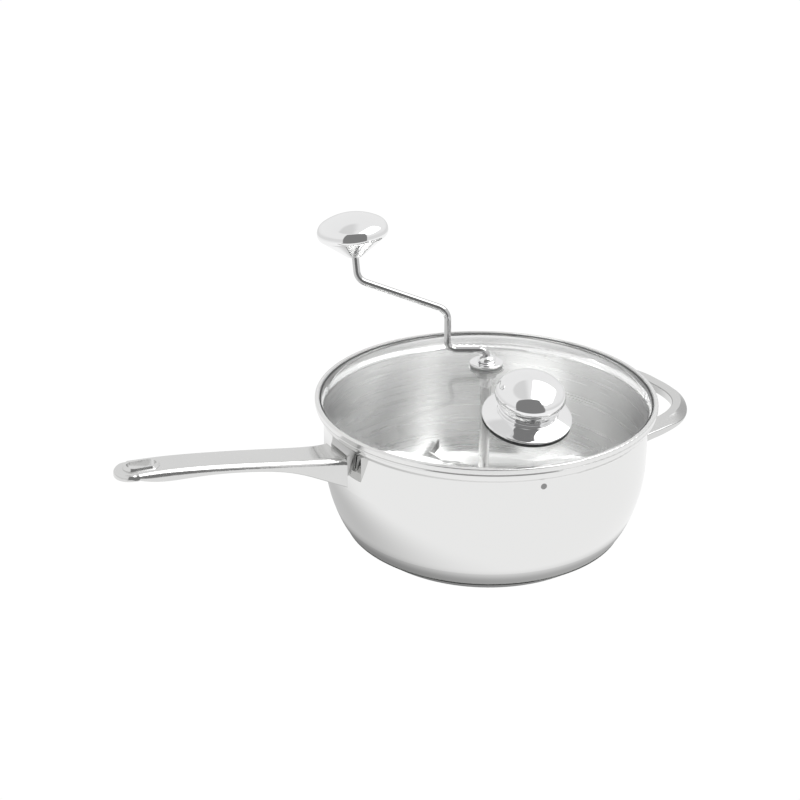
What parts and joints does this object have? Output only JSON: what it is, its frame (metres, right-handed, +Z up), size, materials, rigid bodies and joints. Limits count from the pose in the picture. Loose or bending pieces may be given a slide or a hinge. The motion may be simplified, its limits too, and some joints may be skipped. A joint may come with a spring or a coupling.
{
  "type": "stovetop popcorn pan",
  "caption": "Belly-shaped steel pan on a sandwich base with a domed glass lid, a bent-rod crank that turns a sheet stirrer, a mushroom lid knob, a long hollow handle and a loop helper handle.",
  "frame": {"origin": "centre of the flat base, on the surface the pan stands on", "axes": "+Z up along the pan's axis; -X along the long handle; +X towards the helper handle"},
  "size_m": [0.448, 0.25, 0.2454],
  "materials": {
    "steel_mirror": "polished outside, circular brushing inside",
    "steel_base": "turned satin",
    "aluminium_core": "plain, enclosed",
    "steel_satin": "satin",
    "glass": "clear",
    "steel_band": "polished",
    "chrome": "mirror polished",
    "bush_steel": "turned",
    "seal_rubber": "matt",
    "screw_steel": "plain",
    "stirrer_steel": "satin sheet",
    "bush_plastic": "matt"
  },
  "bodies": {
    "pan": {"pot_shell": "steel_mirror", "base_core": "aluminium_core", "base_cap": "steel_base", "handle_bracket": "steel_satin", "long_handle": "steel_satin", "helper_handle": "steel_satin"},
    "lid": {"lid_glass": "glass", "lid_band": "steel_band", "lid_bush": "bush_steel", "bush_nut": "bush_steel", "bush_washer": "bush_steel", "bush_seal_top": "seal_rubber", "bush_seal_under": "seal_rubber", "knob_head": "chrome", "knob_neck": "chrome", "knob_flange": "chrome", "knob_seal": "seal_rubber", "knob_core": "screw_steel", "knob_screw": "screw_steel", "knob_washer": "screw_steel", "knob_inner_seal": "seal_rubber"},
    "crank": {"crank_rod": "chrome", "crank_collar": "chrome", "stirrer_shaft": "stirrer_steel", "shaft_pin": "screw_steel", "stirrer_hub": "stirrer_steel", "stirrer_blades": "stirrer_steel", "stirrer_rivets": "screw_steel", "crank_knob_clip": "screw_steel"},
    "grip": {"crank_knob_dome": "chrome", "crank_knob_cone": "chrome", "crank_knob_bush": "bush_plastic"}
  },
  "joints": [
    {"name": "lid_lift", "type": "slide", "parent": "pan", "child": "lid", "axis": [0, 0, 1], "range_m": [0, 0.13]},
    {"name": "crank_spin", "type": "hinge", "parent": "lid", "child": "crank", "pos_m": [0, 0, 0.134], "axis": [0, 0, 1], "continuous": true},
    {"name": "crank_knob_spin", "type": "hinge", "parent": "crank", "child": "grip", "pos_m": [-0.08019, 0.0463, 0.1968], "axis": [-0.0755, 0.0436, 0.9962], "continuous": true}
  ]
}
